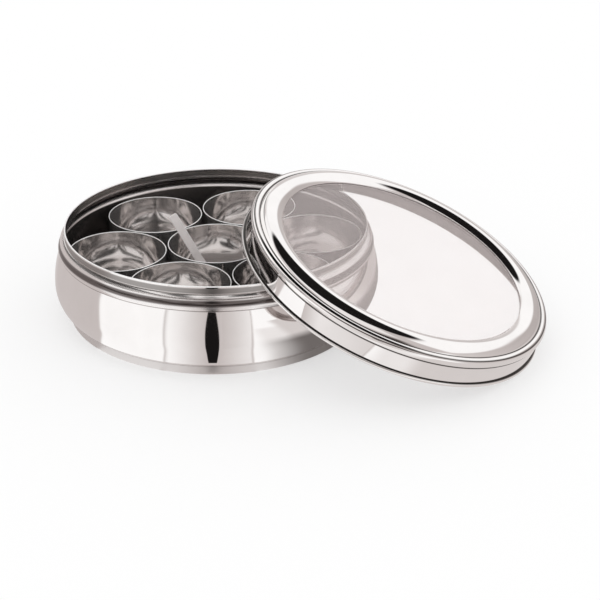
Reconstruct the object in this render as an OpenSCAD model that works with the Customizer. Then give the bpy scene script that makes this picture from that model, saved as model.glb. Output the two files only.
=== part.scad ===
// Round steel spice box: a bellied shell, seven loose bowls, a small spoon and a see-through lid.
// The lid is off: its low edge is on the table and its hem rests on the box rim.
// Millimetres, +Z up, origin at the middle of the box's flat base.

/* [Box shell] */
// Outside radius of the straight neck
neck_r = 94.5; // [90:0.5:98]
// Height of the rim above the table
box_h = 58; // [54:0.5:64]
// Sheet thickness of the shell
box_wall = 0.8; // [0.6:0.1:1.1]
// Height of the straight neck
neck_h = 5; // [4:0.2:6.4]
// Height of the round shoulder under the neck
shoulder_h = 4.1; // [3.4:0.1:5]
// How far the groove under the shoulder stands out from the neck
shoulder_out = 3.1; // [2.4:0.1:3.8]
// How far the shoulder bulges out from the line between neck and groove
shoulder_bulge = 1.1; // [0.6:0.1:1.4]
// Height of the bead between the groove and the belly
bead_h = 5.1; // [4.4:0.1:6]
// How far the foot of the bead stands out from the neck
bead_out = 3.5; // [2.8:0.1:4]
// How far the bead bulges out
bead_bulge = 0.9; // [0.5:0.1:1.2]
// How far the belly stands out from the neck at its widest
belly_out = 7.5; // [5:0.5:10]
// Height of the widest part of the belly
belly_z = 23; // [18:0.5:28]
// Height of the band round the base
base_h = 5.9; // [4:0.1:8]
// How far the base band lies inside the neck's face
base_in = 0.9; // [0:0.1:4]
// Depth of the crease where the belly meets the base band
crease_out = 0.4; // [0.2:0.1:1]
// Rounding at the foot of the base band
base_round = 1.6; // [1.3:0.1:3]

/* [Bowls] */
// Sheet thickness of a bowl
bowl_wall = 0.6; // [0.5:0.1:0.9]
// Gap between neighbouring bowls
bowl_gap = 1.4; // [0.8:0.1:2]
// Gap between the ring of bowls and the inside of the neck
neck_play = 0.5; // [0.4:0.1:2]
// How far the bowls' rims lie below the box rim
bowl_drop = 13.9; // [12:0.1:20]
// Rounding between a bowl's wall and its flat bottom
bowl_round = 14; // [8:0.5:18]
// Bearing of the first bowl of the ring of six
ring_turn = 13; // [10:0.5:16]

/* [Lid] */
// Gap between the lid's skirt and the neck
lid_play = 0.5; // [0.3:0.1:1]
// Sheet thickness of the lid ring
lid_wall = 0.6; // [0.5:0.1:0.8]
// Radius of the rolled hem at the foot of the skirt
hem_r = 1.1; // [0.9:0.1:1.4]
// Height of the skirt
skirt_h = 13.4; // [12:0.2:16]
// How far the groove between bead and crown lies inside the skirt's face
lid_groove_in = 3.9; // [3.4:0.1:5]
// How far that groove lies above the skirt
lid_groove_rise = 4.5; // [3.8:0.1:5.5]
// Bulge of the lid's bead
lid_bead_bulge = 2.65; // [2:0.05:2.8]
// Width of the crown, from the groove to the window's edge
crown_w = 14; // [12:0.2:18]
// How far the window's edge lies above the groove
crown_rise = 1.5; // [0.6:0.1:2]
// Bulge of the crown
crown_bulge = 3.1; // [2.6:0.1:3.6]

/* [Window] */
// Thickness of the clear disc
pane_t = 2.5; // [2:0.1:3]
// How far the disc reaches under the window's edge
pane_lap = 4.5; // [3.5:0.1:5.5]
// Sheet thickness of the ring that clamps the disc
ring_wall = 0.6; // [0.5:0.1:0.8]
// Width of that ring's flat land under the disc
land_w = 4.5; // [3:0.1:5.5]
// Height of that ring's collar inside the skirt
collar_h = 2.6; // [2:0.1:3.5]
// How far the top of the collar lies below the top of the skirt
collar_drop = 2.2; // [1.5:0.1:2.6]

/* [Lid lean] */
// Tilt of the lid
lid_tilt = 21.75; // [21:0.05:23.5]
// Bearing that the lid leans towards
lean_bearing = -19.5; // [-23:0.5:-16]

/* [Spoon] */
// Width of the flat handle
handle_w = 5.4; // [4.6:0.1:5.8]
// Thickness of the handle and the scoop
spoon_t = 0.9; // [0.7:0.1:1.2]
// Length of handle past the bowl's rim
handle_tip = 12; // [9:0.5:12.5]
// Radius of the handle's corners
handle_corner = 1.3; // [0.6:0.1:2]
// Radius of the scoop's mouth
scoop_r = 8; // [6:0.1:8.5]
// Depth of the scoop
scoop_d = 3.5; // [2.5:0.1:4]
// Bearing of the point on the bowl's rim where the handle's edge rests
spoon_bearing = 149; // [148:0.5:152]
// Bearing that the handle points to
spoon_heading = 172; // [171:0.5:178]
// Slope of the handle
spoon_slope = 60.5; // [60:0.5:64]
// Bearing that the back of the handle is turned to
handle_turn = 109; // [106:0.5:111]

/* [Hidden] */
$fn = 128;

steel = [0.78, 0.76, 0.75];
steel_inside = [0.70, 0.68, 0.67];
clear = [0.86, 0.90, 0.92, 0.35];

// Points on each arc
arc_n = 12;
belly_n = 20;
// Gap under a flat face that stands on another
seat_gap = 0.05;
// Gap between curved faces that rest on each other
rest_gap = 0.3;
// Gap under the scoop's end, where the spoon hangs by its edge on the rim
scoop_gap = 1.7;
// Gap between the lid's hem and the box rim
lean_gap = 0.4;
// Gap between the lid's low edge and the table
table_gap = 0.1;
// Spare room between the handle's edge and the bowl's rim, which it crosses at a slant
handle_spare = 0.15;
// How far the handle runs into the scoop
handle_lap = 1.5;

// Box shell
neck_z = box_h - neck_h;
belly_r = neck_r + belly_out;
base_r = neck_r - base_in;
groove = [neck_r + shoulder_out, neck_z - shoulder_h];
bead_foot = [neck_r + bead_out, groove[1] - bead_h];
crease = [base_r + crease_out, base_h];

// Bowls
bowl_r = (neck_r - box_wall - neck_play - bowl_gap) / 3;
ring_r = 2 * bowl_r + bowl_gap;
bowl_z = box_wall + seat_gap;
bowl_top = box_h - bowl_drop;

// Lid, in its own frame: radius and height above the hem's foot
skirt_r = neck_r + lid_play + lid_wall;
hem_ring_r = skirt_r + hem_r - lid_wall;
lid_groove = [skirt_r - lid_groove_in, skirt_h + lid_groove_rise];
window_edge = lid_groove + [-crown_w, crown_rise];
lid_path = concat(
    [[skirt_r, hem_r], [skirt_r, skirt_h]],
    bulge_arc([skirt_r, skirt_h], lid_groove, lid_bead_bulge, arc_n),
    bulge_arc(lid_groove, window_edge, crown_bulge, belly_n));
lip = last(inset(lid_path, lid_wall));
pane_r = lip[0] + pane_lap;
pane_top = lip[1] - seat_gap;
pane_z = pane_top - pane_t;
collar_r = skirt_r - lid_wall - seat_gap;
collar_top = skirt_h - collar_drop;
land_z = pane_z - seat_gap;
land_r = pane_r - land_w;

// Lean: the hem's low point is on the table and the hem crosses the box rim at two points
lid_z = table_gap + hem_r * (1 - cos(lid_tilt)) + hem_ring_r * sin(lid_tilt);
hem_rim_z = box_h + hem_r + lean_gap;
hem_cos = (lid_z + hem_r * cos(lid_tilt) - hem_rim_z) / (hem_ring_r * sin(lid_tilt));
hem_side = hem_ring_r * sqrt(1 - hem_cos * hem_cos);
lid_reach = sqrt(neck_r * neck_r - hem_side * hem_side) - hem_ring_r * hem_cos * cos(lid_tilt)
    - hem_r * sin(lid_tilt);

// Spoon: one edge of its handle rests on the centre bowl's rim, and its scoop ends just over the floor
rest_r = bowl_r - bowl_wall - rest_gap - handle_spare;
rest_point = [rest_r * cos(spoon_bearing), rest_r * sin(spoon_bearing), bowl_top];
back_way = [-sin(handle_turn), cos(handle_turn), 0];
along = [cos(spoon_heading) * cos(spoon_slope), sin(spoon_heading) * cos(spoon_slope), sin(spoon_slope)];
across = unit(back_way - (back_way * along) * along);
face = cross(along, across);
spoon_at = rest_point - handle_w / 2 * across + spoon_t / 2 * face;
scoop_ball = (scoop_r * scoop_r + scoop_d * scoop_d) / (2 * scoop_d);
scoop_reach = scoop_r * norm([along[2], across[2]]);
scoop_z = bowl_z + bowl_wall + scoop_gap + scoop_reach - spoon_t / 2 * face[2];
scoop_x = (scoop_z - spoon_at[2]) / along[2];
handle_low = scoop_x + scoop_r - handle_lap;

function last(list) = list[len(list) - 1];
function unit(v) = v / norm(v);
function left_of(a, b) = let (d = unit(b - a)) [-d[1], d[0]];

// Points of an arc about a centre, without its first point
function centre_arc(c, r, a0, a1, n) =
    [for (i = [1:n]) let (a = a0 + (a1 - a0) * i / n) c + r * [cos(a), sin(a)]];

// Points of an arc from p to q that stands out to the right of the way by a bulge, without its first point
function bulge_arc(p, q, bulge, n) =
    let (
        chord = norm(q - p),
        r = (chord * chord / 4 + bulge * bulge) / (2 * bulge),
        c = (p + q) / 2 + (r - bulge) * left_of(p, q),
        a0 = atan2(p[1] - c[1], p[0] - c[0]),
        sweep = 4 * atan2(2 * bulge, chord))
    centre_arc(c, r, a0, a0 + sweep, n);

// The path moved to its left by a sheet's thickness
function inset(path, t) =
    let (n = len(path))
    [for (i = [0:n - 1])
        let (
            a = left_of(path[max(i - 1, 0)], path[max(i, 1)]),
            b = left_of(path[min(i, n - 2)], path[min(i + 1, n - 1)]))
        path[i] + t * (a + b) / (1 + a * b)];

function reversed(list) = [for (i = [len(list) - 1:-1:0]) list[i]];

// Radius of the arc that is upright at the belly's widest and ends at p
function belly_arc_r(p) = let (d = [belly_r - p[0], p[1] - belly_z]) (d * d) / (2 * d[0]);
function belly_arc_a(p) = asin((p[1] - belly_z) / belly_arc_r(p));
function belly_arc_c(p) = [belly_r - belly_arc_r(p), belly_z];

module sheet(path, t) {
    polygon(concat(path, reversed(inset(path, t))));
}

module box_shell() {
    path = concat(
        [[0, 0], [base_r - base_round, 0]],
        centre_arc([base_r - base_round, base_round], base_round, -90, 0, arc_n),
        [[base_r, base_h], crease],
        centre_arc(belly_arc_c(crease), belly_arc_r(crease), belly_arc_a(crease), 0, belly_n),
        centre_arc(belly_arc_c(bead_foot), belly_arc_r(bead_foot), 0, belly_arc_a(bead_foot), belly_n),
        bulge_arc(bead_foot, groove, bead_bulge, arc_n),
        bulge_arc(groove, [neck_r, neck_z], shoulder_bulge, arc_n),
        [[neck_r, box_h]]);
    color(steel)
    rotate_extrude()
    sheet(path, box_wall);
}

module bowl() {
    path = concat(
        [[0, bowl_z], [bowl_r - bowl_round, bowl_z]],
        centre_arc([bowl_r - bowl_round, bowl_z + bowl_round], bowl_round, -90, 0, belly_n),
        [[bowl_r, bowl_top]]);
    color(steel_inside)
    rotate_extrude()
    sheet(path, bowl_wall);
}

// Bowl of the ring of six, counted anticlockwise from the right
module ring_bowl(i) {
    a = ring_turn + 60 * i;
    translate(ring_r * [cos(a), sin(a), 0])
    bowl();
}

module spoon() {
    m = [for (i = [0:2]) [along[i], across[i], face[i], spoon_at[i]]];
    color(steel)
    multmatrix(concat(m, [[0, 0, 0, 1]]))
    union() {
        translate([0, 0, -spoon_t / 2])
        linear_extrude(spoon_t)
        handle_outline();
        translate([scoop_x, 0, spoon_t / 2])
        scoop();
    }
}

module handle_outline() {
    inner_w = handle_w - 2 * handle_corner;
    translate([handle_low, -handle_w / 2])
    square([handle_tip - handle_corner - handle_low, handle_w]);
    translate([0, -inner_w / 2])
    square([handle_tip, inner_w]);
    for (side = [-1, 1])
        translate([handle_tip - handle_corner, side * inner_w / 2])
        circle(handle_corner);
}

// Dished round scoop with its mouth at z = 0
module scoop() {
    intersection() {
        translate([0, 0, scoop_ball - scoop_d])
        difference() {
            sphere(scoop_ball);
            sphere(scoop_ball - spoon_t);
        }
        translate([0, 0, -scoop_d])
        cylinder(h = scoop_d, r = scoop_r + spoon_t);
    }
}

module leaning() {
    translate([lid_reach * cos(lean_bearing), lid_reach * sin(lean_bearing), lid_z])
    rotate([0, 0, lean_bearing])
    rotate([0, lid_tilt, 0])
    children();
}

module lid_ring() {
    color(steel)
    leaning()
    rotate_extrude()
    union() {
        sheet(lid_path, lid_wall);
        translate([hem_ring_r, hem_r])
        circle(hem_r);
    }
}

module lid_window() {
    color(clear)
    leaning()
    translate([0, 0, pane_z])
    cylinder(h = pane_t, r = pane_r);
}

module retaining_ring() {
    path = [
        [collar_r, collar_top - collar_h],
        [collar_r, collar_top],
        [pane_r, land_z],
        [land_r, land_z]];
    color(steel_inside)
    leaning()
    rotate_extrude()
    sheet(path, ring_wall);
}

box_shell();
bowl();  // bowl_centre
ring_bowl(0);  // bowl_right
ring_bowl(1);  // bowl_back_right
ring_bowl(2);  // bowl_back_left
ring_bowl(3);  // bowl_left
ring_bowl(4);  // bowl_front
ring_bowl(5);  // bowl_front_right
spoon();
lid_ring();
lid_window();
retaining_ring();
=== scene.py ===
"""Round steel spice box with loose bowls, a small spoon and a see-through lid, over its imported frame."""

import logging
import math
from dataclasses import dataclass, field, replace
from enum import Enum

import bmesh
import bpy
from mathutils import Euler, Matrix, Vector


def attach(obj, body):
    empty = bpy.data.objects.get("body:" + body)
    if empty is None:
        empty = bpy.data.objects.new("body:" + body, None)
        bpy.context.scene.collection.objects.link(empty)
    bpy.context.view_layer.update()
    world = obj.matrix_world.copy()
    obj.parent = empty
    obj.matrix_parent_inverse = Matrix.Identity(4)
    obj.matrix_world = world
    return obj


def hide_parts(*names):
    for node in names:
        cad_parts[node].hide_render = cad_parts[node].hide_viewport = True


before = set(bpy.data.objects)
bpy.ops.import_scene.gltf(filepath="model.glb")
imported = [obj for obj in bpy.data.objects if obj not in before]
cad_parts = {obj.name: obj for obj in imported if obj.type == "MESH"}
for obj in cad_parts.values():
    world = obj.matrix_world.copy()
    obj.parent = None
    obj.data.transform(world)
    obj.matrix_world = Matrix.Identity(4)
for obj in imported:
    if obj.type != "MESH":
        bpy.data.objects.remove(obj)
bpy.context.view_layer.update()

log = logging.getLogger("spice_box")

Point = tuple[float, float]
Spot = tuple[float, float, float]
Shade = tuple[float, float, float]
Colour = tuple[float, float, float, float]
Finish = bpy.types.Material
Node = bpy.types.Node
Socket = bpy.types.NodeSocket

MM = 0.001
ARC_STEPS = 18
BELLY_STEPS = 48
LIP_STEPS = 8
ROLL_STEPS = 30
LONG_RUN = 3.0
HOLD = 0.08
QUARTER_TURN = 90.0
HALF_TURN = 180.0
FULL_TURN = 360.0
SQUARE = ((0, 0), (1, 0), (1, 1), (0, 1))


class Slot(Enum):
    """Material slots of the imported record."""

    POLISHED = "polished_steel"
    BOWL = "bowl_steel"
    PANE = "clear_window"


def unit(vector: Point) -> Point:
    """Returns the vector at length one."""
    length = math.hypot(*vector)
    return vector[0] / length, vector[1] / length


def left_of(start: Point, end: Point) -> Point:
    """Returns the unit vector to the left of the way from start to end."""
    along = unit((end[0] - start[0], end[1] - start[1]))
    return -along[1], along[0]


class Outline:
    """Path of a turned sheet: radius and height in millimetres, with the sheet to its left."""

    def __init__(self, start: Point) -> None:
        """Starts the path at a point."""
        self.points: list[Point] = [start]

    def line(self, *ends: Point) -> "Outline":
        """Runs straight to each point in turn.

        Args:
            ends: the corners of the way.

        Returns:
            The same path, so that calls can be chained.
        """
        self.points.extend(ends)
        return self

    def round(self, centre: Point, radius: float, first: float, last: float, steps: int) -> "Outline":
        """Runs along an arc about a centre.

        Args:
            centre: middle of the arc.
            radius: radius of the arc.
            first: bearing of its start in degrees.
            last: bearing of its end in degrees.
            steps: number of points that it adds.

        Returns:
            The same path.
        """
        for i in range(1, steps + 1):
            a = math.radians(first + (last - first) * i / steps)
            self.points.append((centre[0] + radius * math.cos(a), centre[1] + radius * math.sin(a)))
        return self

    def bulge(self, end: Point, height: float, steps: int) -> "Outline":
        """Runs to a point along an arc that stands out to the right of the straight way.

        Args:
            end: last point of the arc.
            height: how far the arc stands out from its chord.
            steps: number of points that it adds.

        Returns:
            The same path.
        """
        start = self.points[-1]
        chord = math.dist(start, end)
        radius = (chord * chord / 4 + height * height) / (2 * height)
        left = left_of(start, end)
        centre = (
            (start[0] + end[0]) / 2 + (radius - height) * left[0],
            (start[1] + end[1]) / 2 + (radius - height) * left[1],
        )
        first = math.degrees(math.atan2(start[1] - centre[1], start[0] - centre[0]))
        sweep = math.degrees(4 * math.atan2(2 * height, chord))
        return self.round(centre, radius, first, first + sweep, steps)

    def inset(self, thickness: float) -> list[Point]:
        """Moves the path to its left.

        Args:
            thickness: how far it moves.

        Returns:
            The points of the moved path.
        """
        pts = self.points
        count = len(pts)
        moved = []
        for i, p in enumerate(pts):
            a = left_of(pts[max(i - 1, 0)], pts[max(i, 1)])
            b = left_of(pts[min(i, count - 2)], pts[min(i + 1, count - 1)])
            scale = thickness / (1 + a[0] * b[0] + a[1] * b[1])
            moved.append((p[0] + scale * (a[0] + b[0]), p[1] + scale * (a[1] + b[1])))
        return moved

    def sheet(self, thickness: float) -> list[Spot]:
        """Gives the path a thickness and a half-round lip at its end.

        Args:
            thickness: sheet thickness.

        Returns:
            The outline from the path's start, round the lip and back along the inner side, which is marked.
        """
        inner = self.inset(thickness)
        outer_end, inner_end = self.points[-1], inner[-1]
        centre = ((outer_end[0] + inner_end[0]) / 2, (outer_end[1] + inner_end[1]) / 2)
        first = math.degrees(math.atan2(outer_end[1] - centre[1], outer_end[0] - centre[0]))
        lip = Outline(outer_end).round(centre, thickness / 2, first, first + HALF_TURN, LIP_STEPS)
        return marked(self.points + lip.points[1:-1], 0.0) + marked(inner[::-1], 1.0)


def marked(points: list[Point], inner: float) -> list[Spot]:
    """Returns the points with a mark, one on the inner side of a sheet and zero elsewhere."""
    return [(r, z, inner) for r, z in points]


def held(outline: list[Spot]) -> list[Spot]:
    """Adds a point close to both ends of each long straight run, so that its shading stays straight.

    Args:
        outline: radius and height in millimetres and the inner mark of each point.

    Returns:
        The outline with the extra points.
    """
    kept = [outline[0]]
    for start, end in zip(outline, outline[1:]):
        length = math.dist(start[:2], end[:2])
        if length > LONG_RUN:
            for share in (HOLD / length, 1 - HOLD / length):
                kept.append(tuple(a + share * (b - a) for a, b in zip(start, end)))
        kept.append(end)
    return kept


def linked(name: str, data: bpy.types.ID) -> bpy.types.Object:
    """Makes an object of the scene.

    Args:
        name: its name.
        data: its mesh or its camera.

    Returns:
        The new object.
    """
    made = bpy.data.objects.new(name, data)
    bpy.context.scene.collection.objects.link(made)
    return made


def made_plain(piece: bpy.types.Object) -> bpy.types.Mesh:
    """Puts what the modifiers make of a piece into a plain mesh.

    Args:
        piece: the piece, which loses its modifiers and its first mesh.

    Returns:
        The piece's new mesh.
    """
    bare = piece.data
    bpy.context.view_layer.update()
    made = bpy.data.meshes.new_from_object(piece.evaluated_get(bpy.context.evaluated_depsgraph_get()))
    piece.modifiers.clear()
    piece.data = made
    bpy.data.meshes.remove(bare)
    made.name = piece.name
    return made


class NodeBench:
    """Small helper that builds a tree node by node."""

    MIX_SOCKETS = {"FLOAT": (2, 3, 0), "RGBA": (6, 7, 2)}

    def __init__(self, tree: bpy.types.NodeTree) -> None:
        """Clears the tree and keeps it."""
        tree.nodes.clear()
        self.tree = tree

    def add(self, kind: str, feeds: dict | None = None, **settings: object) -> Node:
        """Adds a node.

        Args:
            kind: the node's type name.
            feeds: input name or number to the socket or the constant that feeds it.
            settings: the node's own properties.

        Returns:
            The new node.
        """
        node = self.tree.nodes.new(kind)
        for key, value in settings.items():
            setattr(node, key, value)
        for key, value in (feeds or {}).items():
            if isinstance(value, Socket):
                self.tree.links.new(value, node.inputs[key])
            else:
                node.inputs[key].default_value = value
        return node

    def maths(self, operation: str, *values: Socket | float) -> Socket:
        """Adds a Math node fed by sockets or numbers and returns its output."""
        return self.add("ShaderNodeMath", dict(enumerate(values)), operation=operation).outputs[0]

    def mix(self, factor: Socket, first: object, second: object, kind: str = "RGBA") -> Socket:
        """Adds a mix of two colours, or of two numbers.

        Args:
            factor: socket with the share of the second value.
            first: socket or constant.
            second: socket or constant.
            kind: the node's data type, RGBA for colours and FLOAT for numbers.

        Returns:
            The mixed value's socket.
        """
        a, b, out = self.MIX_SOCKETS[kind]
        node = self.add("ShaderNodeMix", {"Factor": factor, a: first, b: second}, data_type=kind)
        return node.outputs[out]

    def fade(self, value: Socket, off: float, on: float) -> Socket:
        """Adds a soft step that is zero at one value and one at the other, and returns its output."""
        feeds = {"Value": value, "From Min": off, "From Max": on}
        return self.add("ShaderNodeMapRange", feeds, interpolation_type="SMOOTHSTEP").outputs[0]

    def within(self, value: Socket, low: float, high: float, soft: float) -> Socket:
        """Adds the nodes that say whether a value lies between two ends.

        Args:
            value: socket with the value.
            low: lower end.
            high: upper end.
            soft: how far from an end the step begins and stops.

        Returns:
            A socket that is one between the ends and zero outside them.
        """
        half = (high - low) / 2
        off = self.maths("ABSOLUTE", self.maths("SUBTRACT", value, (low + high) / 2))
        return self.fade(off, half + soft, half - soft)

    def bearing(self, x: Socket, y: Socket) -> Socket:
        """Adds the bearing of a place, in degrees from the front to the right, and returns its socket."""
        return self.maths("DEGREES", self.maths("ARCTAN2", x, self.maths("MULTIPLY", y, -1.0)))

    def ramp(self, factor: Socket, stops: list[tuple[float, Colour]]) -> Socket:
        """Adds a colour ramp.

        Args:
            factor: socket that feeds the ramp.
            stops: place and colour of each stop.

        Returns:
            The ramp's colour socket.
        """
        node = self.add("ShaderNodeValToRGB", {"Fac": factor})
        elements = node.color_ramp.elements
        while len(elements) < len(stops):
            elements.new(1.0)
        for element, (place, colour) in zip(elements, stops):
            element.position = place
            element.color = colour
        return node.outputs["Color"]


def new_finish(name: str) -> tuple[Finish, NodeBench]:
    """Makes an empty node material.

    Args:
        name: its name.

    Returns:
        The material and the bench of its tree.
    """
    made = bpy.data.materials.new(name)
    made.use_nodes = True
    return made, NodeBench(made.node_tree)


class TurnedTree:
    """Geometry Nodes tree that turns an outline about the upright axis and sets it in place."""

    NAME = "turned_sheet"
    INPUTS = {
        "Segments": "NodeSocketInt", "Place": "NodeSocketVector", "Lean": "NodeSocketVector",
        "Finish": "NodeSocketMaterial"}
    SMOOTH_LIMIT = math.radians(32)
    WELD = 1e-6

    def __init__(self) -> None:
        """Names the tree's inputs and output, and builds it."""
        self.tree = bpy.data.node_groups.new(self.NAME, "GeometryNodeTree")
        face = self.tree.interface
        face.new_socket("Geometry", in_out="INPUT", socket_type="NodeSocketGeometry")
        self.inputs = {
            name: face.new_socket(name, in_out="INPUT", socket_type=kind).identifier
            for name, kind in self.INPUTS.items()}
        face.new_socket("Geometry", in_out="OUTPUT", socket_type="NodeSocketGeometry")
        self._wire(NodeBench(self.tree))

    def _wire(self, bench: NodeBench) -> None:
        """Joins the nodes: a grid of points is laid round the axis, one column for each bearing.

        Args:
            bench: the tree's node bench.
        """
        given = bench.add("NodeGroupInput").outputs
        path, segments = given["Geometry"], given["Segments"]
        size = bench.add("GeometryNodeAttributeDomainSize", {"Geometry": path}, component="MESH")
        rows = size.outputs["Point Count"]
        grid = bench.add(
            "GeometryNodeMeshGrid", {"Vertices X": bench.maths("ADD", segments, 1.0), "Vertices Y": rows})
        index = bench.add("GeometryNodeInputIndex").outputs[0]
        row = bench.maths("MODULO", index, rows)
        column = bench.maths("FLOOR", bench.maths("DIVIDE", index, rows))
        bearing = bench.maths("MULTIPLY", column, bench.maths("DIVIDE", math.tau, segments))
        spot = bench.add("GeometryNodeInputPosition").outputs[0]
        sample = bench.add(
            "GeometryNodeSampleIndex", {"Geometry": path, "Value": spot, "Index": row},
            data_type="FLOAT_VECTOR", domain="POINT")
        radius, inner, height = bench.add("ShaderNodeSeparateXYZ", {0: sample.outputs["Value"]}).outputs
        x, y = (bench.maths("MULTIPLY", radius, bench.maths(way, bearing)) for way in ("COSINE", "SINE"))
        place = bench.add("ShaderNodeCombineXYZ", {"X": x, "Y": y, "Z": height})
        turned = bench.add("ShaderNodeCombineXYZ", {"X": radius, "Y": height, "Z": inner})

        keep = bench.add(
            "GeometryNodeStoreNamedAttribute",
            {"Geometry": grid.outputs["Mesh"], "Name": Steel.TURNED, "Value": turned.outputs[0]},
            data_type="FLOAT_VECTOR", domain="POINT")
        laid = bench.add(
            "GeometryNodeSetPosition", {"Geometry": keep.outputs[0], "Position": place.outputs[0]})
        weld = bench.add("GeometryNodeMergeByDistance", {"Geometry": laid.outputs[0], "Distance": self.WELD})
        set_down = bench.add("GeometryNodeTransform", {
            "Geometry": weld.outputs[0], "Translation": given["Place"], "Rotation": given["Lean"]})
        smooth = bench.add("GeometryNodeSetShadeSmooth", {"Geometry": set_down.outputs[0]}, domain="FACE")
        angle = bench.add("GeometryNodeInputMeshEdgeAngle").outputs["Unsigned Angle"]
        steep = bench.maths("GREATER_THAN", angle, self.SMOOTH_LIMIT)
        sharp = bench.add(
            "GeometryNodeSetShadeSmooth",
            {"Geometry": smooth.outputs[0], "Selection": steep, "Shade Smooth": False}, domain="EDGE")
        whole = bench.add("GeometryNodeRealizeInstances", {"Geometry": sharp.outputs[0]})
        dressed = bench.add(
            "GeometryNodeSetMaterial", {"Geometry": whole.outputs[0], "Material": given["Finish"]})
        bench.add("NodeGroupOutput", {"Geometry": dressed.outputs[0]})

    def turn(
        self,
        name: str,
        outline: list[Spot],
        finish: Finish,
        segments: int,
        place: Vector = Vector(),
        lean: Euler = Euler(),
    ) -> bpy.types.Object:
        """Turns an outline into a closed mesh at its place.

        Args:
            name: name of the piece.
            outline: radius and height in millimetres and the inner mark of each point.
            finish: material of the piece.
            segments: number of steps round the axis.
            place: where the outline's origin goes, in metres.
            lean: how the axis is turned.

        Returns:
            The piece, with a plain mesh and no modifier.
        """
        mesh = bpy.data.meshes.new(name)
        points = [(r * MM, inner, z * MM) for r, z, inner in held(outline)]
        mesh.from_pydata(points, [(i, i + 1) for i in range(len(points) - 1)], [])
        piece = linked(name, mesh)
        modifier = piece.modifiers.new(self.NAME, "NODES")
        modifier.node_group = self.tree
        given = {"Segments": segments, "Place": tuple(place), "Lean": tuple(lean), "Finish": finish}
        for key, value in given.items():
            modifier[self.inputs[key]] = value
        point_outwards(made_plain(piece))
        return piece


def point_outwards(mesh: bpy.types.Mesh) -> None:
    """Turns the faces of a closed mesh outwards.

    Args:
        mesh: the mesh, which is changed.
    """
    solid = bmesh.new()
    solid.from_mesh(mesh)
    bmesh.ops.recalc_face_normals(solid, faces=solid.faces)
    if solid.calc_volume(signed=True) < 0:
        bmesh.ops.reverse_faces(solid, faces=solid.faces)
    solid.to_mesh(mesh)
    solid.free()


@dataclass(frozen=True)
class Band:
    """A part of a sheet between two heights in millimetres, with its own tint and roughness: a rougher
    finish, painted shade, a painted highlight.
    """

    low: float
    high: float
    soft: float
    tint: Shade
    roughness: float
    satin: float = 0.0


@dataclass(frozen=True)
class Steel:
    """Polished sheet steel with faint spin rings, hand smudges and bands, some rougher, some with painted
    shade and some with a painted highlight.
    """

    name: str
    tint: Shade
    shade: Shade
    roughness: float
    smudge: float
    ring_scale: float
    ring_bump: float
    bands: tuple[Band, ...] = ()
    inside: Band | None = None
    satin: float = 0.0

    TURNED = "turned"
    RINGS = {"Detail": 2.0, "Roughness": 0.6}
    RING_DEPTH = 0.0002
    SMUDGES = {"Scale": 55.0, "Detail": 4.0, "Roughness": 0.55, "Distortion": 0.4}
    SMUDGE_SPAN = (0.3, 0.7)

    def material(self) -> Finish:
        """Makes the finish.

        Returns:
            Its node material.
        """
        made, bench = new_finish(self.name)
        turned = bench.add("ShaderNodeAttribute", attribute_name=self.TURNED).outputs["Vector"]
        rings = bench.add(
            "ShaderNodeTexNoise", {"Vector": turned, "Scale": self.ring_scale, **self.RINGS},
            noise_dimensions="2D")
        place = bench.add("ShaderNodeTexCoord").outputs["Object"]
        smudges = bench.add("ShaderNodeTexNoise", {"Vector": place, **self.SMUDGES}).outputs["Fac"]
        ends = ((*self.shade, 1.0), (*self.tint, 1.0))
        colour = bench.ramp(smudges, list(zip(self.SMUDGE_SPAN, ends)))
        rough = bench.maths("MULTIPLY_ADD", smudges, self.smudge, self.roughness)
        metal = 1.0 - self.satin
        for band, share in self.shade_and_finish_bands(bench, turned):
            colour = bench.mix(share, colour, (*band.tint, 1.0))
            rough = bench.mix(share, rough, band.roughness, "FLOAT")
            metal = bench.mix(share, metal, 1.0 - band.satin, "FLOAT")
        bump = bench.add("ShaderNodeBump", {
            "Height": rings.outputs["Fac"], "Strength": self.ring_bump, "Distance": self.RING_DEPTH})
        shader = bench.add("ShaderNodeBsdfPrincipled", {
            "Base Color": colour, "Roughness": rough, "Metallic": metal, "Normal": bump.outputs[0]})
        bench.add("ShaderNodeOutputMaterial", {"Surface": shader.outputs[0]})
        return made

    def shade_and_finish_bands(self, bench: NodeBench, turned: Socket) -> list[tuple[Band, Socket]]:
        """Adds the nodes that say where the sheet's bands lie: painted shade, painted highlights and rougher
        finish.

        Args:
            bench: the finish's node bench.
            turned: socket with the radius, height and inner mark of each point.

        Returns:
            Each band with the socket of its share.
        """
        parts = bench.add("ShaderNodeSeparateXYZ", {0: turned}).outputs
        found = [(self.inside, parts["Z"])] if self.inside else []
        for band in self.bands:
            found.append((band, bench.within(parts["Y"], band.low * MM, band.high * MM, band.soft * MM)))
        return found


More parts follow.
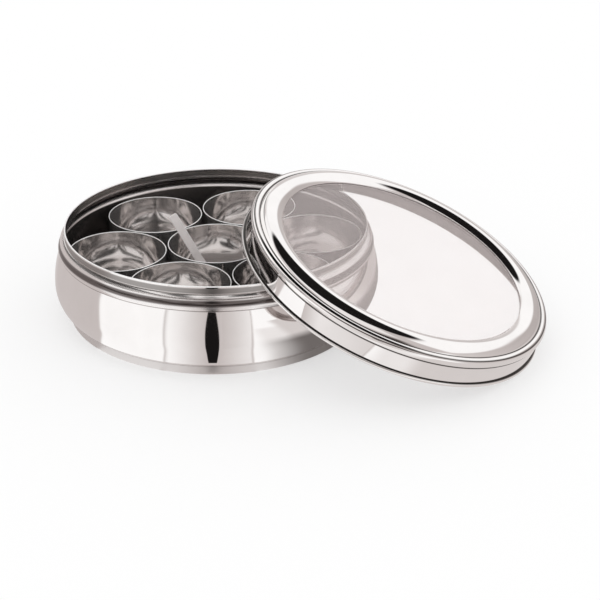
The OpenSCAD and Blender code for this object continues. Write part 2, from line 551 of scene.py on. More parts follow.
@dataclass(frozen=True)
class ClearPane:
    """Clear plastic sheet with a faint haze of fine scuffs."""

    name: str
    tint: Colour
    haze_tint: Colour
    sheen: Colour
    haze: float
    haze_spread: float
    index: float

    SCUFFS = {"Scale": 30.0, "Detail": 5.0, "Roughness": 0.6}
    HAZE_ROUGHNESS = 0.6

    def material(self) -> Finish:
        """Makes the finish.

        Returns:
            Its node material.
        """
        made, bench = new_finish(self.name)
        place = bench.add("ShaderNodeTexCoord").outputs["Object"]
        scuffs = bench.add("ShaderNodeTexNoise", {"Vector": place, **self.SCUFFS}).outputs["Fac"]
        amount = bench.maths("MULTIPLY_ADD", scuffs, self.haze_spread, self.haze)
        clear = bench.add("ShaderNodeBsdfPrincipled", {
            "Base Color": self.tint, "Roughness": 0.0, "IOR": self.index, "Transmission Weight": 1.0,
            "Specular Tint": self.sheen})
        haze = bench.add(
            "ShaderNodeBsdfPrincipled", {"Base Color": self.haze_tint, "Roughness": self.HAZE_ROUGHNESS})
        mixed = bench.add("ShaderNodeMixShader", {0: amount, 1: clear.outputs[0], 2: haze.outputs[0]})
        bench.add("ShaderNodeOutputMaterial", {"Surface": mixed.outputs[0]})
        return made


# Painted shade: the neck's grey band under the rim is darkened to stand in for the shade and dark reflection
# there.
NECK_PAINTED_SHADE = Band(53.3, 56.8, 0.5, (0.34, 0.32, 0.31), 0.28)
# Painted highlight: a bright, half-diffuse line along the box's rim.
RIM_PAINTED_HIGHLIGHT = Band(57.5, 58.4, 0.1, (0.98, 0.965, 0.96), 0.35, 0.75)
SHOULDER = Band(43.9, 54.6, 0.3, (0.88, 0.85, 0.84), 0.24)
# Painted shade in the groove between the bead and the shoulder.
GROOVE_PAINTED_SHADE = Band(46.8, 50.3, 0.6, (0.17, 0.15, 0.145), 0.20)
# Painted shade: a thin dark line along the crease at the bead's foot.
BEAD_CREASE_SHADE = Band(43.7, 44.3, 0.25, (0.42, 0.39, 0.38), 0.24)
BASE_BAND = Band(-1.0, 5.7, 0.15, (0.74, 0.71, 0.70), 0.55)
# Painted shade: a thin dark line along the crease above the base band.
BASE_CREASE_SHADE = Band(5.6, 6.2, 0.15, (0.28, 0.26, 0.25), 0.30)
# Painted shade: the whole inside of the box is darkened, with a small diffuse share that lifts the gaps
# between the bowls.
INSIDE_PAINTED_SHADE = Band(0.0, 58.0, 0.0, (0.29, 0.265, 0.255), 0.14, 0.12)
# Painted highlight: a bright, half-diffuse line on each bowl's rim.
BOWL_RIM_HIGHLIGHT = Band(43.7, 44.5, 0.05, (0.98, 0.965, 0.96), 0.35, 0.75)
# Painted shade in the groove between the lid's hem and its skirt.
HEM_GROOVE_SHADE = Band(2.05, 2.6, 0.15, (0.06, 0.055, 0.05), 0.12)
# Painted shade: a dark band under the lid's bead, standing in for the dark reflection there.
BEAD_FOOT_SHADE = Band(12.9, 14.0, 0.25, (0.10, 0.09, 0.085), 0.12)
# Painted shade in the groove between the lid's bead and its crown.
LID_GROOVE_SHADE = Band(17.7, 18.2, 0.15, (0.12, 0.11, 0.105), 0.12)
# Painted shade: the inside of the lid ring is darkened.
LID_INSIDE_SHADE = Band(0.0, 22.0, 0.0, (0.60, 0.56, 0.55), 0.12)

BOX_STEEL = Steel(
    "box_steel_sheet", tint=(0.92, 0.895, 0.885), shade=(0.88, 0.855, 0.845), roughness=0.025, smudge=0.03,
    ring_scale=900.0, ring_bump=0.015, inside=INSIDE_PAINTED_SHADE,
    bands=(SHOULDER, NECK_PAINTED_SHADE, GROOVE_PAINTED_SHADE, BEAD_CREASE_SHADE, BASE_BAND, BASE_CREASE_SHADE, RIM_PAINTED_HIGHLIGHT))
LID_STEEL = replace(
    BOX_STEEL, name="lid_steel_sheet", bands=(HEM_GROOVE_SHADE, BEAD_FOOT_SHADE, LID_GROOVE_SHADE), inside=LID_INSIDE_SHADE)
BOWL_STEEL = Steel(
    "bowl_steel_sheet", tint=(0.84, 0.815, 0.805), shade=(0.78, 0.755, 0.745), roughness=0.06, smudge=0.05,
    ring_scale=700.0, ring_bump=0.008, bands=(BOWL_RIM_HIGHLIGHT,), satin=0.05)
CLAMP_STEEL = Steel(
    "clamp_steel_sheet", tint=(0.80, 0.76, 0.75), shade=(0.74, 0.70, 0.69), roughness=0.08, smudge=0.05,
    ring_scale=700.0, ring_bump=0.008)
SPOON_STEEL = Steel(
    "spoon_steel_sheet", tint=(0.98, 0.93, 0.92), shade=(0.93, 0.88, 0.87), roughness=0.42, smudge=0.08,
    ring_scale=2600.0, ring_bump=0.05, satin=0.6)
PANE = ClearPane(
    "hazy_clear_pane", tint=(0.985, 0.98, 0.98, 1.0), haze_tint=(0.94, 0.79, 0.765, 1.0),
    sheen=(1.0, 0.87, 0.85, 1.0), haze=0.12, haze_spread=0.05, index=1.49)


@dataclass
class BoxShell:
    """The bellied box."""

    neck_r: float = 94.5
    box_h: float = 58.0
    wall: float = 0.8
    neck_h: float = 5.0
    shoulder_h: float = 4.1
    shoulder_out: float = 3.1
    shoulder_bulge: float = 1.1
    bead_h: float = 5.1
    bead_out: float = 3.5
    bead_bulge: float = 0.9
    belly_out: float = 7.5
    belly_z: float = 23.0
    base_h: float = 5.9
    base_in: float = 0.9
    crease_out: float = 0.4
    base_round: float = 1.6
    segments: int = 288

    def belly(self, path: Outline, end: Point, upwards: bool) -> None:
        """Adds half of the belly, an arc that is upright at the widest height.

        Args:
            path: the box's outline so far.
            end: the arc's far end, at the groove above or the crease below.
            upwards: whether the arc runs from the widest height to that end.
        """
        belly_r = self.neck_r + self.belly_out
        out, up = belly_r - end[0], end[1] - self.belly_z
        radius = (out * out + up * up) / (2 * out)
        bearing = math.degrees(math.asin(up / radius))
        first, last = (0.0, bearing) if upwards else (bearing, 0.0)
        path.round((belly_r - radius, self.belly_z), radius, first, last, BELLY_STEPS)

    def outline(self) -> list[Spot]:
        """Draws the shell from the middle of its base up to its rim.

        Returns:
            The closed outline of the shell.
        """
        base_r = self.neck_r - self.base_in
        neck_z = self.box_h - self.neck_h
        groove = (self.neck_r + self.shoulder_out, neck_z - self.shoulder_h)
        bead_foot = (self.neck_r + self.bead_out, groove[1] - self.bead_h)
        crease = (base_r + self.crease_out, self.base_h)
        path = Outline((0.0, 0.0)).line((base_r - self.base_round, 0.0))
        path.round(
            (base_r - self.base_round, self.base_round), self.base_round, -QUARTER_TURN, 0.0, ARC_STEPS)
        path.line((base_r, self.base_h), crease)
        self.belly(path, crease, False)
        self.belly(path, bead_foot, True)
        path.bulge(groove, self.bead_bulge, ARC_STEPS)
        path.bulge((self.neck_r, neck_z), self.shoulder_bulge, ARC_STEPS)
        path.line((self.neck_r, self.box_h - self.wall / 2))
        return path.sheet(self.wall)

    def build(self, tree: TurnedTree, finish: Finish) -> None:
        """Makes the shell and sets it in the place of its solid."""
        piece = tree.turn("shell_of_box", self.outline(), finish, self.segments)
        settle(piece, "box", "box_shell")


@dataclass
class Bowls:
    """The seven loose bowls: one in the middle and a ring of six round it."""

    box: BoxShell
    wall: float = 0.6
    gap: float = 1.4
    neck_play: float = 0.5
    seat_gap: float = 0.05
    drop: float = 13.9
    corner: float = 14.0
    ring_turn: float = 13.0
    segments: int = 180

    RING = ("right", "back_right", "back_left", "left", "front", "front_right")

    @property
    def radius(self) -> float:
        """Outside radius of a bowl, of which three and a gap lie between the axis and the neck."""
        return (self.box.neck_r - self.box.wall - self.neck_play - self.gap) / 3

    @property
    def top(self) -> float:
        """Height of the bowls' rims."""
        return self.box.box_h - self.drop

    @property
    def foot(self) -> float:
        """Height of the bowls' undersides."""
        return self.box.wall + self.seat_gap

    def outline(self) -> list[Spot]:
        """Draws one bowl, which stands on the box's floor.

        Returns:
            The closed outline of the bowl.
        """
        flat_r = self.radius - self.corner
        path = Outline((0.0, self.foot)).line((flat_r, self.foot))
        path.round((flat_r, self.foot + self.corner), self.corner, -QUARTER_TURN, 0.0, BELLY_STEPS)
        path.line((self.radius, self.top - self.wall / 2))
        return path.sheet(self.wall)

    def build(self, tree: TurnedTree, finish: Finish) -> None:
        """Makes every bowl at its place and sets it in the place of its solid.

        Args:
            tree: the turning tree.
            finish: finish of the bowls.
        """
        ring_r = 2 * self.radius + self.gap
        places = {"centre": Vector()}
        for i, name in enumerate(self.RING):
            bearing = math.radians(self.ring_turn + i * FULL_TURN / len(self.RING))
            places[name] = Vector((math.cos(bearing), math.sin(bearing), 0.0)) * ring_r * MM
        for name, place in places.items():
            piece = tree.turn(f"spice_bowl_{name}", self.outline(), finish, self.segments, place)
            settle(piece, f"{name}_bowl", f"bowl_{name}")


@dataclass
class Lid:
    """The lid: a pressed ring with a clear disc, clamped by a second ring from below."""

    box: BoxShell
    play: float = 0.5
    wall: float = 0.6
    hem_r: float = 1.1
    skirt_h: float = 13.4
    groove_in: float = 3.9
    groove_rise: float = 4.5
    bead_bulge: float = 2.65
    crown_w: float = 14.0
    crown_rise: float = 1.5
    crown_bulge: float = 3.1
    pane_t: float = 2.5
    pane_lap: float = 4.5
    pane_edge: float = 0.3
    seat_gap: float = 0.05
    ring_wall: float = 0.6
    land_w: float = 4.5
    collar_h: float = 2.6
    collar_drop: float = 2.2
    tilt: float = 21.75
    bearing: float = -19.5
    table_gap: float = 0.1
    lean_gap: float = 0.4
    segments: int = 360
    place: Vector = field(init=False)
    lean: Euler = field(init=False)

    def __post_init__(self) -> None:
        """Works out where the lid leans, from its hem on the table and on the box rim."""
        tilt, bearing = math.radians(self.tilt), math.radians(self.bearing)
        hem = self.hem_ring
        height = self.table_gap + self.hem_r * (1 - math.cos(tilt)) + hem * math.sin(tilt)
        rim = self.box.box_h + self.hem_r + self.lean_gap
        cosine = (height + self.hem_r * math.cos(tilt) - rim) / (hem * math.sin(tilt))
        side = hem * math.sqrt(1 - cosine * cosine)
        reach = math.sqrt(self.box.neck_r**2 - side * side)
        reach -= hem * cosine * math.cos(tilt) + self.hem_r * math.sin(tilt)
        self.place = Vector((reach * math.cos(bearing), reach * math.sin(bearing), height)) * MM
        turn = Matrix.Rotation(bearing, 3, "Z") @ Matrix.Rotation(tilt, 3, "Y")
        self.lean = turn.to_euler()

    @property
    def skirt_r(self) -> float:
        """Outside radius of the skirt."""
        return self.box.neck_r + self.play + self.wall

    @property
    def hem_ring(self) -> float:
        """Radius of the middle of the rolled hem."""
        return self.skirt_r + self.hem_r - self.wall

    @property
    def hem_lap(self) -> float:
        """Bearing on the rolled hem where the skirt leaves it, in radians."""
        return math.acos((self.skirt_r - self.hem_ring) / self.hem_r)

    @property
    def lip(self) -> Point:
        """Inner corner of the crown's end, which the clear disc lies under."""
        return self.crown().inset(self.wall)[-1]

    @property
    def pane_r(self) -> float:
        """Radius of the clear disc."""
        return self.lip[0] + self.pane_lap

    def crown(self) -> Outline:
        """Draws the outer side of the pressed ring.

        Returns:
            The path from the hem's top to the window's edge.
        """
        groove = (self.skirt_r - self.groove_in, self.skirt_h + self.groove_rise)
        path = Outline((self.skirt_r, self.hem_r * (1 + math.sin(self.hem_lap))))
        path.line((self.skirt_r, self.skirt_h))
        path.bulge(groove, self.bead_bulge, ROLL_STEPS)
        path.bulge((groove[0] - self.crown_w, groove[1] + self.crown_rise), self.crown_bulge, BELLY_STEPS)
        return path

    def ring_outline(self) -> list[Spot]:
        """Draws the lid ring with its rolled hem.

        Returns:
            The closed outline of the ring.
        """
        inner_foot = (self.skirt_r - self.wall, self.hem_r)
        end = FULL_TURN + math.degrees(self.hem_lap)
        hem = Outline(inner_foot)
        hem.round((self.hem_ring, self.hem_r), self.hem_r, HALF_TURN, end, ROLL_STEPS)
        sheet = self.crown().sheet(self.wall)
        return marked(hem.points, 0.0) + sheet[1:-1] + marked([inner_foot], 1.0)

    def pane_outline(self) -> list[Spot]:
        """Draws the clear disc with eased edges.

        Returns:
            The outline of the disc.
        """
        radius, top = self.pane_r, self.lip[1] - self.seat_gap
        foot, edge = top - self.pane_t, self.pane_edge
        return marked([
            (0.0, foot), (radius - edge, foot), (radius, foot + edge),
            (radius, top - edge), (radius - edge, top), (0.0, top),
        ], 0.0)

    def clamp_outline(self) -> list[Spot]:
        """Draws the ring that clamps the disc.

        Returns:
            The closed outline of the ring.
        """
        pane_r = self.pane_r
        land_z = self.lip[1] - self.pane_t - 2 * self.seat_gap
        collar_r = self.skirt_r - self.wall - self.seat_gap
        collar_top = self.skirt_h - self.collar_drop
        path = Outline((collar_r, collar_top - self.collar_h))
        path.line((collar_r, collar_top), (pane_r, land_z), (pane_r - self.land_w, land_z))
        sheet = path.sheet(self.ring_wall)
        return sheet + sheet[:1]

    def build(self, tree: TurnedTree, steel: Finish, inner: Finish, pane: Finish) -> None:
        """Makes the lid's three pieces and sets them in the places of their solids.

        Args:
            tree: the turning tree.
            steel: finish of the lid ring.
            inner: finish of the clamping ring.
            pane: finish of the clear disc.
        """
        for name, outline, finish, slot, node in (
            ("ring_of_lid", self.ring_outline(), steel, Slot.POLISHED, "lid_ring"),
            ("window_of_lid", self.pane_outline(), pane, Slot.PANE, "lid_window"),
            ("clamp_of_window", self.clamp_outline(), inner, Slot.BOWL, "retaining_ring"),
        ):
            piece = tree.turn(name, outline, finish, self.segments, self.place, self.lean)
            settle(piece, "lid", node)


@dataclass
class Spoon:
    """The small spoon: a flat handle with a dished round scoop, laid over the centre bowl's rim."""

    bowls: Bowls
    handle_w: float = 5.4
    thick: float = 0.9
    tip: float = 12.0
    corner: float = 1.3
    scoop_r: float = 8.0
    scoop_d: float = 3.5
    bearing: float = 149.0
    heading: float = 172.0
    slope: float = 60.5
    turn: float = 109.0
    rest_gap: float = 0.3
    scoop_gap: float = 1.7
    spare: float = 0.15
    lip_in: float = 0.6
    blend: float = 2.4
    edge: float = 0.18
    edge_steps: int = 2
    weld: float = 0.018
    grain: float = 0.04
    rows: int = 150
    columns: int = 24

    NAME = "spice_spoon_sheet"

    @property
    def axes(self) -> tuple[Vector, Vector, Vector]:
        """Works out how the spoon leans.

        Returns:
            The ways along the handle, across it and out of its face.
        """
        heading, slope, turn = (math.radians(a) for a in (self.heading, self.slope, self.turn))
        level = Vector((math.cos(heading), math.sin(heading), 0.0))
        along = math.cos(slope) * level + Vector((0.0, 0.0, math.sin(slope)))
        back = Vector((-math.sin(turn), math.cos(turn), 0.0))
        across = (back - back.dot(along) * along).normalized()
        return along, across, along.cross(across)

    @property
    def place_at(self) -> Vector:
        """Works out where the handle's edge rests on the bowl's rim.

        Returns:
            The point of the handle's middle line at that place.
        """
        _, across, face = self.axes
        bearing = math.radians(self.bearing)
        rest = self.bowls.radius - self.bowls.wall - self.rest_gap - self.spare
        rim = Vector((rest * math.cos(bearing), rest * math.sin(bearing), self.bowls.top))
        return rim - self.handle_w / 2 * across + self.thick / 2 * face

    @property
    def scoop_x(self) -> float:
        """Works out how far down the scoop is, with its end just over the bowl's floor.

        Returns:
            The middle of the scoop along the handle.
        """
        along, across, face = self.axes
        floor = self.bowls.foot + self.bowls.wall + self.scoop_gap
        end = floor + self.scoop_r * math.hypot(along.z, across.z) - self.thick / 2 * face.z
        return (end - self.place_at.z) / along.z

    def place(self) -> Matrix:
        """Returns the matrix from the spoon's own millimetres to the frame."""
        turn = Matrix(self.axes).transposed().to_4x4()
        return Matrix.Scale(MM, 4) @ Matrix.Translation(self.place_at) @ turn

    def half_width(self, x: float, scoop_x: float) -> float:
        """Returns half of the spoon's width at a place along it.

        Args:
            x: place along the handle.
            scoop_x: middle of the scoop along the handle.

        Returns:
            Half of the width, with the handle run softly into the scoop.
        """
        nose = x - (self.tip - self.corner)
        handle = self.handle_w / 2
        if nose > 0:
            handle += math.sqrt(max(self.corner**2 - nose * nose, 0.0)) - self.corner
        off = x - scoop_x
        scoop = math.sqrt(max((self.scoop_r - self.lip_in) ** 2 - off * off, 0.0))
        if off < 0:
            return scoop
        near = max(0.0, 1 - abs(handle - scoop) / self.blend)
        return max(handle, scoop) + near * near * self.blend / 4

    def dish(self, out: float) -> float:
        """Works out the scoop's hollow.

        Args:
            out: distance from the scoop's middle.

        Returns:
            How far the sheet lies over the handle's plane, zero on the handle and less in the scoop.
        """
        ball = (self.scoop_r**2 + self.scoop_d**2) / (2 * self.scoop_d)
        middle = self.thick / 2 + ball - self.scoop_d
        round_r = ball - self.thick / 2
        return min(0.0, middle - math.sqrt(max(round_r * round_r - out * out, 0.0)))

    def sheet(self) -> bpy.types.Mesh:
        """Draws the spoon's sheet row by row along the handle.

        Returns:
            The sheet without thickness, in the spoon's own millimetres.
        """
        scoop_x = self.scoop_x
        low, high = scoop_x - self.scoop_r + self.lip_in, self.tip
        middle, half = (low + high) / 2, (high - low) / 2
        stride = self.columns + 1
        points, faces = [], []
        for i in range(self.rows + 1):
            x = middle - half * math.cos(math.pi * i / self.rows)
            width = self.half_width(x, scoop_x)
            for j in range(stride):
                y = width * (2 * j / self.columns - 1)
                points.append((x, y, self.dish(math.hypot(x - scoop_x, y))))
        for i in range(self.rows):
            for k in range(i * stride, i * stride + self.columns):
                faces.append((k, k + stride, k + stride + 1, k + 1))
        mesh = bpy.data.meshes.new(self.NAME)
        mesh.from_pydata(points, [], faces)
        sheet = bmesh.new()
        sheet.from_mesh(mesh)
        bmesh.ops.remove_doubles(sheet, verts=sheet.verts, dist=self.weld)
        bmesh.ops.recalc_face_normals(sheet, faces=sheet.faces)
        sheet.to_mesh(mesh)
        sheet.free()
        return mesh

    def build(self, finish: Finish) -> None:
        """Makes the spoon as one pressed sheet and sets it in the place of its solid.

        Args:
            finish: finish of the spoon.
        """
        piece = linked(self.NAME, self.sheet())
        wall = piece.modifiers.new("wall", "SOLIDIFY")
        wall.thickness = self.thick
        wall.offset = 0.0
        eased = piece.modifiers.new("eased_edge", "BEVEL")
        eased.width = self.edge
        eased.segments = self.edge_steps
        eased.limit_method = "ANGLE"
        made = made_plain(piece)
        brushed = made.attributes.new(Steel.TURNED, "FLOAT_VECTOR", "POINT")
        for vertex, value in zip(made.vertices, brushed.data):
            value.vector = (vertex.co.y * MM, vertex.co.x * MM * self.grain, 0.0)
        made.transform(self.place())
        point_outwards(made)
        made.shade_smooth()
        made.materials.clear()
        made.materials.append(finish)
        settle(piece, "spice_spoon", "spoon")


def settle(piece: bpy.types.Object, body: str, node: str) -> None:
    """Sets a piece in the place of a solid.

    Args:
        piece: the piece, in place.
        body: the body that it moves with.
        node: the solid that it stands for.
    """
    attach(piece, body)
    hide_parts(node)
    log.info("%s: %d faces, on body %s", piece.name, len(piece.data.polygons), body)


class Tone(Enum):
    """Tones of the studio that polished metal mirrors."""

    WHITE = (1.06, 1.06, 1.06, 1.0)
    PALE = (0.90, 0.88, 0.875, 1.0)
    ROSE = (0.71, 0.675, 0.665, 1.0)
    GREY = (0.61, 0.565, 0.555, 1.0)
    SEAM = (0.50, 0.46, 0.45, 1.0)
    SHADE = (0.17, 0.155, 0.15, 1.0)
    DARK = (0.09, 0.075, 0.07, 1.0)
    BLACK = (0.01, 0.009, 0.009, 1.0)


@dataclass(frozen=True)
class Screen:
    """A screen of the studio, by its bearing from the front to the right and its height, in degrees."""

    bearing: float
    half_width: float
    low: float
    high: float
    tone: Tone
    side_soft: float = 3.0
    edge_soft: float = 3.0


@dataclass(frozen=True)
class Leaf:
    """The narrow black gap between the front screens, by the place on the belly that mirrors it."""

    bearing: float = 1.75
    half_width: float = 2.3
    low: float = 12.0
    high: float = 43.4
    taper: float = 0.42
    soft: float = 0.12
    end_soft: float = 0.01


@dataclass(frozen=True)
class Card:
    """A card of the studio that only polished metal shows, painted along its first edge."""

    name: str
    corners: tuple[Spot, ...]
    tones: tuple[tuple[float, Tone], ...]

    FOOT = 0.0003
    OVER_BOWLS = ((-0.19, -0.15), (0.018, -0.15), (0.018, 0.15), (-0.19, 0.15))

    @classmethod
    def lying(cls, name: str, height: float, *tones: tuple[float, Tone]) -> "Card":
        """Returns a card that lies over the bowls at a height."""
        return cls(name, tuple((*corner, height) for corner in cls.OVER_BOWLS), tones)

    @classmethod
    def upright(cls, name: str, start: Point, end: Point, top: float, *tones: tuple[float, Tone]) -> "Card":
        """Returns a card that stands on the floor between two points, up to a height."""
        return cls(name, ((*start, cls.FOOT), (*end, cls.FOOT), (*end, top), (*start, top)), tones)


@dataclass
class Studio:
    """Pale floor, white surround, soft light and the camera."""

    floor_size: float = 12.0
    floor_drop: float = 0.0002
    floor_tint: Colour = (0.945, 0.945, 0.945, 1.0)
    floor_glow: float = 0.55
    lens: float = 90.0
    sensor: float = 36.0
    eye: Spot = (0.05314, -0.86787, 0.42555)
    right: Spot = (0.99995, 0.00437, 0.00901)
    up: Spot = (-0.01002, 0.43659, 0.8996)
    forward: Spot = (0.0, 0.89965, -0.43661)
    even_light: float = 1.06
    white: Colour = (1.0, 1.0, 1.0, 1.0)
    belly_r: float = 0.093
    eye_bearing: float = 3.9
    horizon_z: float = 36.3
    floor_curve: Point = (10.4, 15.6)
    foot_from: float = 0.75
    foot_squeeze: float = 3.2
    sky_slope: float = 0.42
    strips_span: float = 180.0
    strips: tuple[tuple[float, Tone], ...] = (
        (-90.0, Tone.ROSE), (-76.0, Tone.GREY), (-40.2, Tone.GREY), (-39.2, Tone.WHITE), (-14.4, Tone.WHITE),
        (-13.9, Tone.SEAM), (-13.2, Tone.WHITE), (-8.0, Tone.PALE), (-3.0, Tone.ROSE), (0.0, Tone.GREY),
        (4.0, Tone.GREY), (8.0, Tone.ROSE), (14.4, Tone.PALE), (14.8, Tone.GREY), (15.4, Tone.WHITE),
        (30.0, Tone.WHITE), (34.0, Tone.ROSE), (50.0, Tone.GREY), (70.0, Tone.SEAM), (90.0, Tone.ROSE),
    )
    strips_end: Point = (23.0, 19.0)
    rose_side: Point = (34.0, 40.0)
    lid_side: Point = (20.0, 28.0)
    lid_reach: Point = (0.40, 0.26)
    seam_side: Point = (80.0, 105.0)
    seam_back: Point = (180.0, 140.0)
    nook_side: Point = (18.0, 42.0)
    nook_reach: Point = (0.17, 0.13)
    leaf: Leaf = Leaf()
    screens: tuple[Screen, ...] = (
        Screen(0.0, 180.0, 62.0, 120.0, Tone.WHITE, 3.0, 4.0),
        Screen(105.0, 40.0, 25.0, 52.0, Tone.WHITE, 5.0, 3.0),
        Screen(165.0, 28.0, 20.0, 56.0, Tone.WHITE, 6.0, 3.0),
        Screen(-142.0, 26.0, 38.0, 56.0, Tone.WHITE, 6.0, 3.0),
        Screen(0.0, 36.0, 18.0, 40.0, Tone.DARK, 8.0, 3.0),
        Screen(0.0, 40.0, 46.0, 66.0, Tone.PALE, 6.0, 3.0),
    )
    gap_way: Point = (145.0, 79.0)
    gap_radius: float = 31.0
    gap_soft: float = 2.0
    cards: tuple[Card, ...] = (
        Card.lying("streaky_card", 0.112),
        Card.lying("white_card", 0.114, (0.0, Tone.WHITE), (1.0, Tone.WHITE)),
        Card.upright(
            "belly_card", (0.012, -0.1315), (0.043, -0.1355), 0.056,
            (0.0, Tone.GREY), (0.4, Tone.ROSE), (1.0, Tone.PALE)),
        Card.upright(
            "skirt_card", (0.0432, -0.1356), (0.156, -0.369), 0.06,
            (0.0, Tone.PALE), (0.3, Tone.ROSE), (1.0, Tone.ROSE)),
    )
    card_streaks: Spot = (8.0, 1.5, 0.0)
    card_tones: tuple[tuple[float, Colour], ...] = (
        (0.34, (0.02, 0.018, 0.017, 1.0)), (0.46, (0.10, 0.094, 0.09, 1.0)),
        (0.56, (0.26, 0.245, 0.24, 1.0)), (0.62, (1.06, 1.05, 1.04, 1.0)))

    def camera(self) -> None:
        """Sets the camera where the photograph was taken from."""
        data = bpy.data.cameras.new("photo_camera")
        data.lens = self.lens
        data.sensor_width = self.sensor
        camera = linked("photo_camera", data)
        columns = (Vector(self.right), Vector(self.up), -Vector(self.forward))
        turn = Matrix([axis.normalized() for axis in columns]).transposed().to_4x4()
        camera.matrix_world = Matrix.Translation(self.eye) @ turn
        bpy.context.scene.camera = camera

    def stage_piece(self, name: str, corners: list[Spot]) -> tuple[bpy.types.Object, NodeBench]:
        """Makes a flat piece of the stage.

        Args:
            name: name of the piece and of its finish.
            corners: its corners in metres.

        Returns:
            The piece and the bench of its finish.
        """
        mesh = bpy.data.meshes.new(name)
        mesh.from_pydata(corners, [], [tuple(range(len(corners)))])
        piece = linked(name, mesh)
        made, bench = new_finish(name)
        mesh.materials.append(made)
        return piece, bench

    def painted(self, bench: NodeBench, bearing: Socket, height: Socket) -> Socket:
        """Adds the upright strips of the front screens and the black leaf between them.

        Args:
            bench: the node bench that they go on.
            bearing: socket with the bearing on the belly that mirrors the place, in degrees.
            height: socket with the height on the belly that mirrors it, in millimetres.

        Returns:
            The colour's socket.
        """
        leaf, whole = self.leaf, self.strips_span
        share = bench.maths("MULTIPLY_ADD", bearing, 1 / whole, 0.5)
        strips = bench.ramp(share, [((a + whole / 2) / whole, tone.value) for a, tone in self.strips])
        middle, half = (leaf.low + leaf.high) / 2, (leaf.high - leaf.low) / 2
        rise = bench.maths("DIVIDE", bench.maths("SUBTRACT", height, middle), half)
        width = bench.maths("MULTIPLY_ADD", bench.maths("MULTIPLY", rise, rise), -leaf.taper, 1.0)
        off = bench.maths("ABSOLUTE", bench.maths("SUBTRACT", bearing, leaf.bearing))
        out = bench.maths("SUBTRACT", off, bench.maths("MULTIPLY", width, leaf.half_width))
        across = bench.fade(out, leaf.soft, -leaf.soft)
        along = bench.fade(bench.maths("ABSOLUTE", rise), 1 + leaf.end_soft, 1 - leaf.end_soft)
        return bench.mix(bench.maths("MULTIPLY", across, along), strips, Tone.BLACK.value)

    def floor_tone(self, bench: NodeBench) -> Socket:
        """Adds what polished metal sees of the floor: the screens' feet and the patches beside them.

        Args:
            bench: the floor's node bench.

        Returns:
            The colour's socket.
        """
        spot = bench.add("ShaderNodeTexCoord").outputs["Object"]
        x, y, _ = bench.add("ShaderNodeSeparateXYZ", {0: spot}).outputs
        bearing = bench.bearing(x, y)
        away = bench.add("ShaderNodeVectorMath", {0: spot}, operation="LENGTH").outputs["Value"]
        near = bench.maths("DIVIDE", self.belly_r, away)
        close = bench.maths("MINIMUM", near, 1.0)
        moved = bench.maths("MULTIPLY_ADD", bench.maths("SUBTRACT", 1.0, close), self.eye_bearing, bearing)
        bare = bench.maths("DIVIDE", moved, bench.maths("SUBTRACT", 2.0, close))
        late = bench.maths("MAXIMUM", bench.maths("SUBTRACT", close, self.foot_from), 0.0)
        squeeze = bench.maths("MULTIPLY_ADD", bench.maths("MULTIPLY", late, late), self.foot_squeeze, 1.0)
        aside = bench.maths("DIVIDE", bench.maths("SUBTRACT", bare, self.eye_bearing), squeeze)
        on_belly = bench.maths("ADD", aside, self.eye_bearing)
        bend = bench.maths("MULTIPLY_ADD", near, self.floor_curve[1], self.floor_curve[0])
        height = bench.maths("SUBTRACT", self.horizon_z, bench.maths("MULTIPLY", near, bend))
        tone = self.painted(bench, on_belly, height)
        # The SHADE patch is a painted shadow on the floor near the box, where the leaning lid shades it;
        # only polished metal sees it.
        for patch, *spans in (
            (Tone.PALE, (bearing, self.lid_side), (away, self.lid_reach)),
            (Tone.ROSE, (bearing, self.rose_side)),
            (Tone.SEAM, (bearing, self.seam_side), (bearing, self.seam_back)),
            (Tone.SHADE, (bearing, self.nook_side), (away, self.nook_reach)),
        ):
            shares = [bench.fade(value, *ends) for value, ends in spans]
            share = bench.maths("MULTIPLY", *shares) if len(shares) > 1 else shares[0]
            tone = bench.mix(share, tone, patch.value)
        return tone

    def floor(self) -> None:
        """Lays the pale floor, which keeps a soft shadow and shows polished metal the screens' feet."""
        size = self.floor_size
        corners = [((x - 0.5) * size, (y - 0.5) * size, -self.floor_drop) for x, y in SQUARE]
        bench = self.stage_piece("pale_floor", corners)[1]
        path = bench.add("ShaderNodeLightPath")
        through = path.outputs["Is Transmission Ray"]
        share = bench.maths("MULTIPLY_ADD", path.outputs["Is Camera Ray"], self.floor_glow, through)
        lit = bench.add("ShaderNodeBsdfDiffuse", {"Color": self.floor_tint})
        glow = bench.add("ShaderNodeEmission", {"Color": self.white, "Strength": 1.0})
        plain = bench.add("ShaderNodeMixShader", {0: share, 1: lit.outputs[0], 2: glow.outputs[0]})
        feet = bench.add("ShaderNodeEmission", {"Color": self.floor_tone(bench), "Strength": 1.0})
        mixed = bench.add("ShaderNodeMixShader", {
            0: self.mirrored(bench, path), 1: plain.outputs[0], 2: feet.outputs[0]})
        bench.add("ShaderNodeOutputMaterial", {"Surface": mixed.outputs[0]})

    def mirrored(self, bench: NodeBench, path: Node) -> Socket:
        """Returns a socket that is one for rays from polished metal, and zero for those through the pane."""
        through = bench.maths("SUBTRACT", 1.0, path.outputs["Is Transmission Ray"])
        return bench.maths("MULTIPLY", path.outputs["Is Glossy Ray"], through)

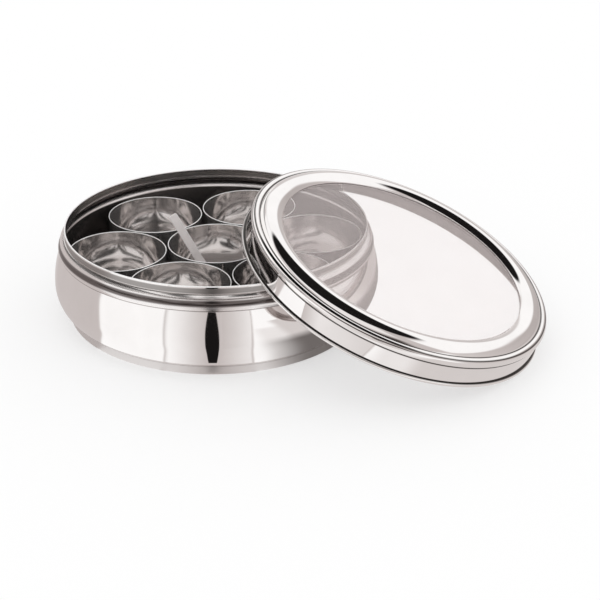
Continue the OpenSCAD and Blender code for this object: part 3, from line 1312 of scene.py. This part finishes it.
    def hang(self, card: Card) -> None:
        """Hangs a card in its place.

        Args:
            card: the card.
        """
        piece, bench = self.stage_piece(card.name, list(card.corners))
        layer = piece.data.uv_layers.new(name="card")
        for corner, place in zip(layer.data, SQUARE):
            corner.uv = place
        spot = bench.add("ShaderNodeTexCoord").outputs["UV"]
        if card.tones:
            along = bench.add("ShaderNodeSeparateXYZ", {0: spot}).outputs["X"]
            tone = bench.ramp(along, [(share, tone.value) for share, tone in card.tones])
        else:
            drawn = bench.add("ShaderNodeVectorMath", {0: spot, 1: self.card_streaks}, operation="MULTIPLY")
            noise = bench.add(
                "ShaderNodeTexNoise", {"Vector": drawn.outputs[0], "Scale": 1.0, "Detail": 0.0},
                noise_dimensions="2D")
            tone = bench.ramp(noise.outputs["Fac"], list(self.card_tones))
        shown = bench.add("ShaderNodeEmission", {"Color": tone, "Strength": 1.0})
        bench.add("ShaderNodeOutputMaterial", {"Surface": shown.outputs[0]})
        for ray in ("camera", "diffuse", "transmission", "shadow"):
            setattr(piece, f"visible_{ray}", False)

    def screen_share(self, bench: NodeBench, screen: Screen, bearing: Socket, height: Socket) -> Socket:
        """Adds the nodes that say how much of a screen lies in a direction.

        Args:
            bench: the world's node bench.
            screen: the screen.
            bearing: socket with the direction's bearing.
            height: socket with the direction's height.

        Returns:
            A socket that is one on the screen and zero off it.
        """
        turn = bench.maths("WRAP", bench.maths("SUBTRACT", bearing, screen.bearing), HALF_TURN, -HALF_TURN)
        sides = bench.within(turn, -screen.half_width, screen.half_width, screen.side_soft)
        ends = bench.within(height, screen.low, screen.high, screen.edge_soft)
        return bench.maths("MULTIPLY", sides, ends)

    def surround(self) -> None:
        """Lights the set: an even white surround, which polished metal sees as screens with dark gaps."""
        world = bpy.data.worlds.new("white_surround")
        world.use_nodes = True
        bench = NodeBench(world.node_tree)
        way = bench.add("ShaderNodeTexCoord").outputs["Generated"]
        x, y, z = bench.add("ShaderNodeSeparateXYZ", {0: way}).outputs
        bearing = bench.bearing(x, y)
        height = bench.maths("DEGREES", bench.maths("ARCSINE", z))
        on_belly = bench.maths("MULTIPLY_ADD", bearing, 0.5, self.eye_bearing / 2)
        belly_z = bench.maths("MULTIPLY_ADD", height, self.sky_slope, self.horizon_z)
        low = bench.fade(height, *self.strips_end)
        seen = bench.mix(low, Tone.GREY.value, self.painted(bench, on_belly, belly_z))
        for screen in self.screens:
            seen = bench.mix(self.screen_share(bench, screen, bearing, height), seen, screen.tone.value)
        turn, rise = (math.radians(a) for a in self.gap_way)
        axis = (math.sin(turn) * math.cos(rise), -math.cos(turn) * math.cos(rise), math.sin(rise))
        near = bench.add("ShaderNodeVectorMath", {0: way, 1: axis}, operation="DOT_PRODUCT")
        edges = [math.cos(math.radians(self.gap_radius + side * self.gap_soft)) for side in (1, -1)]
        seen = bench.mix(bench.fade(near.outputs["Value"], *edges), seen, Tone.BLACK.value)
        path = bench.add("ShaderNodeLightPath")
        mirrored = bench.add("ShaderNodeBackground", {"Color": seen, "Strength": 1.0})
        even = bench.add("ShaderNodeBackground", {"Color": self.white, "Strength": self.even_light})
        mixed = bench.add("ShaderNodeMixShader", {
            0: self.mirrored(bench, path), 1: even.outputs[0], 2: mirrored.outputs[0]})
        bench.add("ShaderNodeOutputWorld", {"Surface": mixed.outputs[0]})
        bpy.context.scene.world = world

    def build(self) -> None:
        """Makes the camera, the floor, the cards and the surround."""
        bpy.context.scene.view_settings.view_transform = "Standard"
        self.camera()
        self.floor()
        for card in self.cards:
            self.hang(card)
        self.surround()


def main() -> None:
    """Builds every piece in order."""
    logging.basicConfig(level=logging.INFO, format="%(message)s")
    Studio().build()
    tree = TurnedTree()
    box_steel, lid_steel, bowl_steel, clamp_steel, spoon_steel, pane = (
        finish.material() for finish in (BOX_STEEL, LID_STEEL, BOWL_STEEL, CLAMP_STEEL, SPOON_STEEL, PANE))
    box = BoxShell()
    box.build(tree, box_steel)
    bowls = Bowls(box)
    bowls.build(tree, bowl_steel)
    Spoon(bowls).build(spoon_steel)
    Lid(box).build(tree, lid_steel, clamp_steel, pane)


if __name__ == "__main__":
    main()
